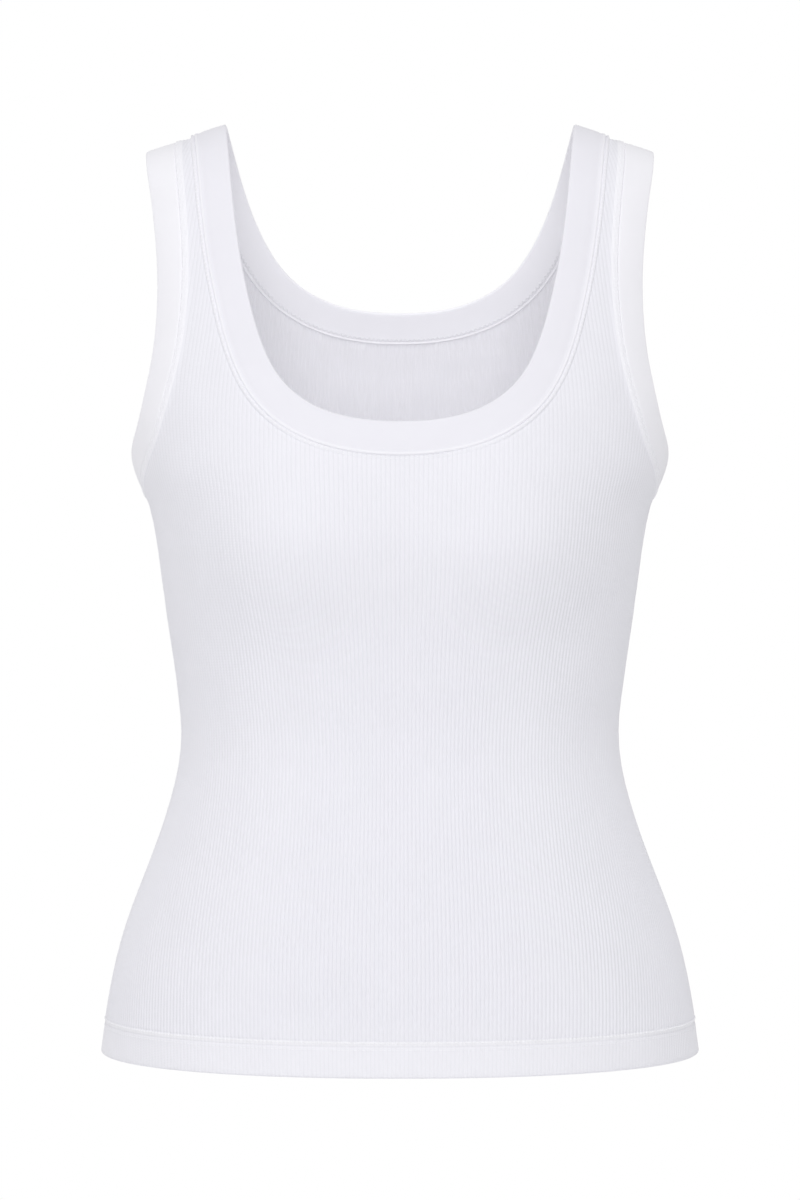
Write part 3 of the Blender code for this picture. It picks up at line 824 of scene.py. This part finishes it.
# ---- stitches
def stitches(name, starts, ends, normals, arch=THREAD, thread=THREAD):
    """Short threads from each start to its end, arched off the cloth with their ends in it."""
    t = np.linspace(0, 1, THREAD_RINGS)[None, :, None]
    middle = starts[:, None] * (1 - t) + ends[:, None] * t
    lift = arch * np.sin(np.pi * t) ** THREAD_ARCH
    across = unit(np.cross(ends - starts, normals))[:, None, None]
    normals = normals[:, None]
    turn = np.linspace(0, 2 * np.pi, THREAD_SIDES, endpoint=False)[None, None, :, None]
    radius = thread * np.where((t == 0) | (t == 1), THREAD_END, 1.0)[:, :, None]
    spoke = np.cos(turn) * normals[:, :, None] + np.sin(turn) * across
    points = (middle + normals * lift)[:, :, None] + radius * spoke
    one = ring_faces(THREAD_RINGS, THREAD_SIDES, closed=False)
    size = THREAD_RINGS * THREAD_SIDES
    corners = (np.arange(len(starts))[:, None, None] * size + one).reshape(-1, 4)
    return add_mesh(name, points.reshape(-1, 3), corners.tolist(), ["thread"], sharp=None)


def by_turns(near, far):
    """Points taken by turns from two rows."""
    even = (np.arange(len(near)) % 2 == 0)[:, None]
    return np.where(even, near, far)


def edge_stitches(name, opening, towards, distance, kind, rise):
    """A row of stitches beside a band's seam."""
    line = evenly(opening, distance, towards, STITCH_STEP)
    points = off_form(*line, rise * fullness(line, kind))
    ahead = unit(np.roll(points, -1, axis=0) - points) * STITCH_LENGTH
    return stitches(name, points, points + ahead, outward(*line))


def zigzag(name, opening, band_width, towards):
    """A row of zigzag stitches on the inside of a band."""
    lines = [evenly(opening, band_width - inset, towards, STITCH_STEP / 2) for inset in ZIGZAG]
    starts = by_turns(*(off_form(*line, ZIGZAG_RISE) for line in lines))
    ends = np.roll(starts, -1, axis=0)
    return stitches(name, starts, ends, -outward(*lines[0]), ZIGZAG_ARCH, ZIGZAG_THREAD)


def beside_seam(mirror, top, low, size, distances):
    """A line down a side seam, and lines at these distances from it towards the back."""
    line = np.full(size, 90.0 * mirror), np.linspace(top, low, size)
    heading = unit(slopes(*line)[0]) * mirror
    return line, [stepped(*line, heading, distance) for distance in distances]


def side_allowance(name, mirror):
    """The turned-in cloth of a side seam, which lies against the back's inside."""
    size = int((ALLOWANCE_LOW - ALLOWANCE_TOP) / ALLOWANCE_STEP)
    across, rise = np.array(ALLOWANCE_SECTION).T * MM
    line, lines = beside_seam(mirror, ALLOWANCE_TOP, ALLOWANCE_LOW, size, across)
    points = np.concatenate([off_form(*moved, r) for moved, r in zip(lines, rise)])
    corners = ring_faces(len(lines), size, closed=True)
    corners = facing_out(points, corners[(np.arange(len(corners)) % size) < size - 1])
    ends = np.arange(len(lines)) * size
    faces = corners.tolist() + [tuple(ends), tuple((ends + size - 1)[::-1])]
    uv = np.column_stack([np.repeat(across / RIB_PITCH, size), np.tile(line[1] / MM, len(lines))])
    # The turned-in cloth is in the inside's cotton, painted lighter as painted light.
    return add_mesh(name, points, faces, ["rib_knit_inside"], uv)


def overlock(name, mirror):
    """The stitches over the raw edge of a side seam's turned-in cloth."""
    size = int((ALLOWANCE_LOW - ALLOWANCE_TOP) / (STITCH_STEP / 2))
    top, low = ALLOWANCE_TOP + OVERLOCK_INSET, ALLOWANCE_LOW - OVERLOCK_INSET
    line, lines = beside_seam(mirror, top, low, size, OVERLOCK)
    rise = min(rise for across, rise in ALLOWANCE_SECTION) * MM - OVERLOCK_RISE
    turns = by_turns(*(off_form(*moved, rise) for moved in lines))
    return stitches(name, turns[:-1], turns[1:], -outward(*line)[:-1], OVERLOCK_ARCH)


def hem_stitches(name, face, above, arch, thread):
    """A row of the hem's cover stitches, this far above its edge: one over each rib's crest."""
    ribs = ribs_to_side(above)
    crests = np.arange(-RIBS_HEM, RIBS_HEM) + 0.5
    crests = crests[np.abs(crests) < ribs - 0.5]

    def place(count):
        share = count / ribs
        down = hem_down(share) - above
        return ROUND[face].angle(share, down), down

    reaches = (-HEM_STITCH_REACH, HEM_STITCH_REACH)
    starts, ends = (off_form(*place(crests + reach), HEM_STITCH_RISE) for reach in reaches)
    return stitches(name, starts, ends, outward(*place(crests)), arch, thread)


# ---- materials
# Each knit's colour, the wales and courses to a unit of its piece's coordinates, how deep its loops are in
# mm, and what the colour is multiplied by in the furrows between its wales, which is painted shade. All are
# one white cotton, and their colours differ as painted light: the hem, its stitched strip, the seams'
# raised strips, the neck band's edge, the armhole bands and the insides are painted lighter, the neck band
# darker.
KNITS = {
    "rib_knit": ((0.80, 0.797, 0.846), 1.0, 1.1, 0.12, 0.945),
    "hem_knit": ((0.815, 0.811, 0.857), 1.0, 1.1, 0.12, 0.965),
    "hem_strip_knit": ((0.848, 0.844, 0.882), 1.0, 1.1, 0.1, 0.96),
    "rib_knit_inside": ((0.88, 0.874, 0.916), 1.0, 1.1, 0.12, 0.985),
    "neck_seam_knit": ((0.81, 0.805, 0.85), 1.0, 1.1, 0.1, 0.98),
    "armhole_seam_knit": ((0.85, 0.845, 0.887), 1.0, 1.1, 0.1, 0.98),
    "neck_band_knit": ((0.787, 0.78, 0.831), 1.4, 1.6, 0.06, 1.0),
    "neck_band_edge_knit": ((0.835, 0.83, 0.874), 1.4, 1.6, 0.06, 1.0),
    "armhole_band_knit": ((0.848, 0.842, 0.881), 1.4, 1.6, 0.06, 1.0),
    "band_knit_inside": ((0.935, 0.928, 0.968), 1.4, 1.6, 0.06, 1.0),
}
# What a panel is of: its ribs, its hem, its hem's stitched strip and its inside. The last three are the
# ribs'
# cotton painted lighter: a painted highlight on the hem's strip, and painted light on the hem and inside.
PANEL_KNITS = ("rib_knit", "hem_knit", "hem_strip_knit", "rib_knit_inside")
# What a band is of: its face, its stitched edge and its inside. The neck band's edge is painted lighter as
# a painted highlight on its ridge, and the inside is painted lighter as painted light.
BAND_KNITS = {
    "neck": ("neck_band_knit", "neck_band_edge_knit", "band_knit_inside"),
    "armhole": ("armhole_band_knit", "armhole_band_knit", "band_knit_inside"),
}
FUZZ = 0.35  # the fuzz's height, as a share of the loops'
UNEVEN = 0.985  # the knit's darker places, as a share of its colour
THREAD_DARK, THREAD_LIGHT = (0.83, 0.829, 0.865), (0.9, 0.899, 0.93)


def set_inputs(node, values):
    for name, given in values.items():
        node.inputs[name].default_value = given


class Material:
    """A material and its nodes."""

    def __init__(self, name):
        material = bpy.data.materials.new(name)
        material.use_nodes = True
        self.nodes = material.node_tree.nodes
        self.links = material.node_tree.links
        self.shader = self.nodes["Principled BSDF"]

    def add(self, kind, values=None, **settings):
        """A node of this kind, with its settings, and its inputs' values by name."""
        node = self.nodes.new(f"ShaderNode{kind}")
        for name, given in settings.items():
            setattr(node, name, given)
        set_inputs(node, values or {})
        return node

    def link(self, output, node, socket):
        self.links.new(output, node.inputs[socket])

    def math(self, operation, *given):
        """The result of a math node, which is given numbers or other nodes' outputs."""
        node = self.add("Math", operation=operation)
        for place, one in enumerate(given):
            if isinstance(one, (int, float)):
                node.inputs[place].default_value = one
            else:
                self.link(one, node, place)
        return node.outputs[0]

    def texture(self, kind, values):
        """A texture's value, from the piece's own coordinates."""
        node = self.add(kind, values)
        self.link(self.add("TexCoord").outputs["Object"], node, "Vector")
        return node.outputs["Fac"]

    def ramp(self, value, low, high):
        """Colours the shader between two colours, by a value."""
        node = self.add("ValToRGB")
        for element, colour in zip(node.color_ramp.elements, (low, high)):
            element.color = (*colour, 1)
        self.link(value, node, "Fac")
        self.link(node.outputs["Color"], self.shader, "Base Color")

    def bump(self, height, strength, distance):
        """Bumps the shader, by a height."""
        node = self.add("Bump", {"Strength": strength, "Distance": distance})
        self.link(height, node, "Height")
        self.link(node.outputs["Normal"], self.shader, "Normal")


def knit_material(name, colour, wales, courses, depth, furrow):
    """Soft white cotton: knit loops from the piece's own coordinates, a little unevenness and fuzz, and
    painted shade in the furrows between its wales.
    """
    knit = Material(name)
    set_inputs(knit.shader, {"Roughness": 0.86, "Specular IOR Level": 0.25})
    set_inputs(knit.shader, {"Sheen Weight": 0.3, "Sheen Roughness": 0.5})
    split = knit.add("SeparateXYZ")
    knit.link(knit.add("UVMap", uv_map="knit").outputs["UV"], split, 0)

    # Each wale is a column of V-shaped loops.
    across = knit.math("MULTIPLY", split.outputs["X"], wales)
    lean = knit.math("PINGPONG", across, 0.5)
    along = knit.math("MULTIPLY_ADD", split.outputs["Y"], courses, lean)
    loop = knit.math("SINE", knit.math("MULTIPLY", along, 2 * math.pi))
    strand = knit.math("SINE", knit.math("MULTIPLY", lean, 2 * math.pi))
    loops = knit.math("MULTIPLY_ADD", loop, 0.5, strand)
    fuzz = knit.texture("TexNoise", {"Scale": 1800, "Detail": 2})
    knit.bump(knit.math("MULTIPLY_ADD", fuzz, FUZZ, loops), 0.22, depth * MM)

    uneven = knit.texture("TexNoise", {"Scale": 45, "Detail": 4})
    tone = knit.add("MapRange", {"From Min": 0.3, "From Max": 0.7})
    knit.link(uneven, tone, "Value")
    darker = (*(part * UNEVEN for part in colour), 1)
    mix = knit.add("Mix", {"A": darker, "B": (*colour, 1)}, data_type="RGBA")
    knit.link(tone.outputs["Result"], mix, "Factor")
    # Painted shade: the colour is darkened in the furrows between the wales.
    shade = knit.add("MapRange", {"From Max": 0.2, "To Min": furrow})
    knit.link(lean, shade, "Value")
    shaded = knit.add("VectorMath", operation="SCALE")
    knit.link(mix.outputs["Result"], shaded, 0)
    knit.link(shade.outputs["Result"], shaded, "Scale")
    knit.link(shaded.outputs["Vector"], knit.shader, "Base Color")


def thread_material():
    """Cotton thread, with its twist."""
    thread = Material("thread")
    set_inputs(thread.shader, {"Roughness": 0.6, "Sheen Weight": 0.1})
    twist = thread.texture("TexWave", {"Scale": 900, "Distortion": 1.5})
    thread.ramp(twist, THREAD_DARK, THREAD_LIGHT)
    thread.bump(twist, 0.3, 0.1 * MM)


# ---- the studio
CAMERA_PLACE = (0, -2.108, -0.2755)  # m
LENS, SENSOR = 105, 36  # mm
ROOM_LIGHT = 0.512  # the room's own light, from all round
FLOOR_Z, FLOOR_RADIUS, FLOOR_SIDES = -1.3, 3.5, 96  # the first two in m
FLOOR_DARK, FLOOR_LIGHT = (0.86, 0.86, 0.87), (0.9, 0.9, 0.91)
BACKDROP_RADIUS, BACKDROP_LIGHT = 9, 1.0  # in m, and how bright; it lights nothing
BACKDROP_SIDES, BACKDROP_RINGS = 48, 25
BACKDROP_RISE = 1.5  # radians up and down; its ends are closed
LIGHT_AIM = (0, 0, -0.25)
# The soft boxes: name, place and size in m, and power in W. The last is for views from behind.
LIGHTS = (
    ("front_box", (0, -2.6, -0.1), (1.0, 1.0), 19.4),
    ("top_box", (0, -1.6, 2.0), (1.6, 1.2), 23.5),
    ("left_box", (-2.2, -0.6, 0.2), (1.2, 1.6), 5.2),
    ("right_box", (2.2, -0.6, 0.2), (1.2, 1.6), 2.2),
    ("left_rim", (-1.8, 1.6, 0.1), (1.2, 1.6), 8.5),
    ("right_rim", (1.8, 1.6, 0.1), (1.2, 1.6), 7.5),
    ("back_box", (0, 2.6, -0.1), (1.0, 1.0), 20),
)


def room():
    """Plain white light from all round, and colours shown as they are."""
    scene = bpy.context.scene
    scene.view_settings.view_transform = "Standard"
    scene.view_settings.look = "None"
    world = bpy.data.worlds.new("white_room")
    world.use_nodes = True
    set_inputs(world.node_tree.nodes["Background"], {"Color": (1, 1, 1, 1), "Strength": ROOM_LIGHT})
    scene.world = world


def pale_floor():
    """A round floor, below the picture's lower edge."""
    stone = Material("pale_floor")
    set_inputs(stone.shader, {"Roughness": 0.7})
    stone.ramp(stone.add("TexNoise", {"Scale": 3}).outputs["Fac"], FLOOR_DARK, FLOOR_LIGHT)
    turns = np.linspace(0, 2 * np.pi, FLOOR_SIDES, endpoint=False)
    points = [(FLOOR_RADIUS * math.cos(turn), FLOOR_RADIUS * math.sin(turn), FLOOR_Z) for turn in turns]
    return add_mesh("floor", points, [tuple(range(FLOOR_SIDES))], ["pale_floor"], sharp=None)


def white_backdrop():
    """A white shell round the whole scene, which only the camera sees."""
    white = Material("white_backdrop")
    white.nodes.remove(white.shader)
    glow = white.add("Emission", {"Strength": BACKDROP_LIGHT})
    white.link(glow.outputs["Emission"], white.nodes["Material Output"], "Surface")
    turns = np.linspace(0, 2 * np.pi, BACKDROP_SIDES, endpoint=False)
    rises = np.linspace(-BACKDROP_RISE, BACKDROP_RISE, BACKDROP_RINGS)
    turn, rise = (part.ravel() for part in np.meshgrid(turns, rises))
    points = np.column_stack([np.cos(rise) * np.cos(turn), np.cos(rise) * np.sin(turn), np.sin(rise)])
    points *= BACKDROP_RADIUS
    faces = ring_faces(BACKDROP_RINGS, BACKDROP_SIDES, closed=False).tolist()
    faces += [tuple(range(BACKDROP_SIDES)), tuple(range(len(points) - BACKDROP_SIDES, len(points)))]
    backdrop = add_mesh("backdrop", points, faces, ["white_backdrop"], sharp=None)
    for ray in ("diffuse", "glossy", "transmission", "volume_scatter", "shadow"):
        setattr(backdrop, f"visible_{ray}", False)
    return backdrop


def soft_box(name, place, size, power):
    """A rectangular light that faces the garment."""
    light = bpy.data.lights.new(name, "AREA")
    light.shape = "RECTANGLE"
    light.size, light.size_y = size
    light.energy = power
    obj = add_object(name, light)
    obj.location = place
    x, y, z = np.array(LIGHT_AIM) - place
    obj.rotation_euler = (math.atan2(math.hypot(x, y), -z), 0, math.atan2(-x, y))


def add_camera():
    """The camera, in front and level."""
    camera = bpy.data.cameras.new("camera")
    camera.lens = LENS
    camera.sensor_fit = "VERTICAL"
    camera.sensor_height = SENSOR
    obj = add_object("camera", camera)
    obj.location = CAMERA_PLACE
    obj.rotation_euler = (math.pi / 2, 0, 0)
    bpy.context.scene.camera = obj


def studio():
    """A white room with a pale floor, a white backdrop, and soft boxes all round."""
    room()
    pale_floor()
    white_backdrop()
    for light in LIGHTS:
        soft_box(*light)
    add_camera()


# ---- the garment
# The bands: the opening's name, the band's node, its width, its side of the opening's line, and how much
# higher it stands on the shoulders' ridge.
BANDS = (
    ("neck", "neck_band", NECK_BAND, -1, NECK_LIFT),
    ("armhole_right", "armhole_band_right", ARM_BAND, -1, 0),
    ("armhole_left", "armhole_band_left", ARM_BAND, 1, 0),
)


def piece(obj, slot, *nodes):
    """Puts a piece on the root body, in place of any nodes that are named. Its slot is not used."""
    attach(obj, "root")
    for node in nodes:
        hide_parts(node)
    return obj


def main():
    studio()
    for name, given in KNITS.items():
        knit_material(name, *given)
    thread_material()
    right, left = armhole_opening(1), armhole_opening(-1)
    openings = {"neck": neck_opening(), "armhole_right": right, "armhole_left": left}

    front = piece(panel("front_knit", "front"), "front", "front")
    back = piece(panel("back_knit", "back"), "back", "back")
    sewn = []
    for name, node, band_width, towards, lift in BANDS:
        kind = name.split("_")[0]
        opening = openings[name]
        cloth = piece(band(f"{node}_knit", opening, band_width, towards, kind, lift), node, node)
        edge = seam_edge(f"{name}_seam_edge", opening, band_width, towards, kind, lift)
        sewn.append(piece(edge, "front"))
        for row, distance, rise in SEAM_STITCHES[kind]:
            at = band_width + distance * MM
            threads = edge_stitches(f"{name}_{row}_stitches", opening, towards, at, kind, rise * MM)
            sewn.append(piece(threads, "front"))
        zigzags = piece(zigzag(f"{name}_inner_stitches", opening, band_width, towards), node)
        length = travelled(*point(*beside(opening, band_width / 2, towards)).T)[-1]
    turned_in = []
    for side, mirror in (("right", 1), ("left", -1)):
        turned_in.append(piece(side_allowance(f"{side}_side_seam_allowance", mirror), "back"))
        turned_in.append(piece(overlock(f"{side}_side_seam_overlock", mirror), "back"))
    for face, parts in (("front", sewn), ("back", turned_in)):
        for row, *sizes in HEM_STITCHES:
            threads = hem_stitches(f"{face}_hem_{row}_stitches", face, *(size * MM for size in sizes))
            parts.append(piece(threads, face))


main()
